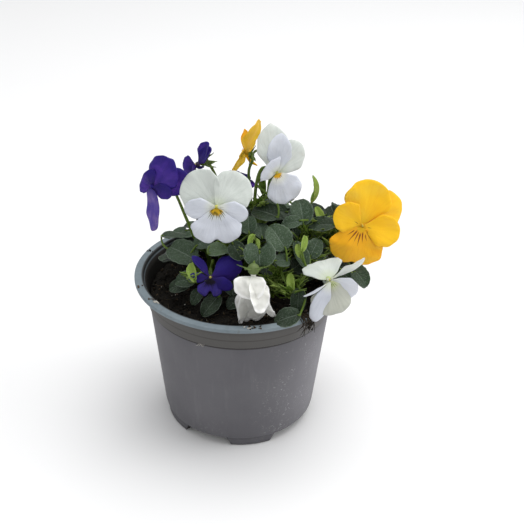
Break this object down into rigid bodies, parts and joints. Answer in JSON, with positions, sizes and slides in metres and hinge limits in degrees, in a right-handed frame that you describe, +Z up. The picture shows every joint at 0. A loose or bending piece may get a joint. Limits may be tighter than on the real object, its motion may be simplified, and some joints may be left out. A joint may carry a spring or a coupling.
{
  "type": "potted horned violet",
  "caption": "Horned violet plant with white, yellow and purple blooms growing from soil in a round nursery pot with a flat rim.",
  "frame": {"origin": "on the ground, in the middle of the whole plant's bounding box; the pot's own axis stands at x = -0.0148 m, y = 0", "axes": "+Z up, -Y towards the front of the picture, +X to the right of the picture"},
  "size_m": [0.1496, 0.12, 0.1759],
  "materials": {
    "pot_plastic": "matt grey polypropylene",
    "potting_soil": "dark crumbly potting soil",
    "leaf_green": "soft green leaf and stem",
    "petal_white": "soft white petal",
    "petal_yellow": "soft yellow petal",
    "petal_purple": "velvety purple petal"
  },
  "bodies": {
    "root": {"bloom_purple_back": "petal_purple", "bloom_purple_far": "petal_purple", "bloom_purple_left": "petal_purple", "bloom_purple_low": "petal_purple", "bloom_white_front": "petal_white", "bloom_white_low": "petal_white", "bloom_white_top": "petal_white", "bloom_white_wilted": "petal_white", "bloom_yellow_right": "petal_yellow", "bloom_yellow_top": "petal_yellow", "pot": "pot_plastic", "soil": "potting_soil", "stem_leafy_back": "leaf_green", "stem_leafy_back_left": "leaf_green", "stem_leafy_front": "leaf_green", "stem_leafy_left": "leaf_green", "stem_leafy_right": "leaf_green", "stem_purple_back": "leaf_green", "stem_purple_far": "leaf_green", "stem_purple_left": "leaf_green", "stem_purple_low": "leaf_green", "stem_white_front": "leaf_green", "stem_white_low": "leaf_green", "stem_white_top": "leaf_green", "stem_white_wilted": "leaf_green", "stem_yellow_right": "leaf_green", "stem_yellow_top": "leaf_green"}
  },
  "joints": []
}
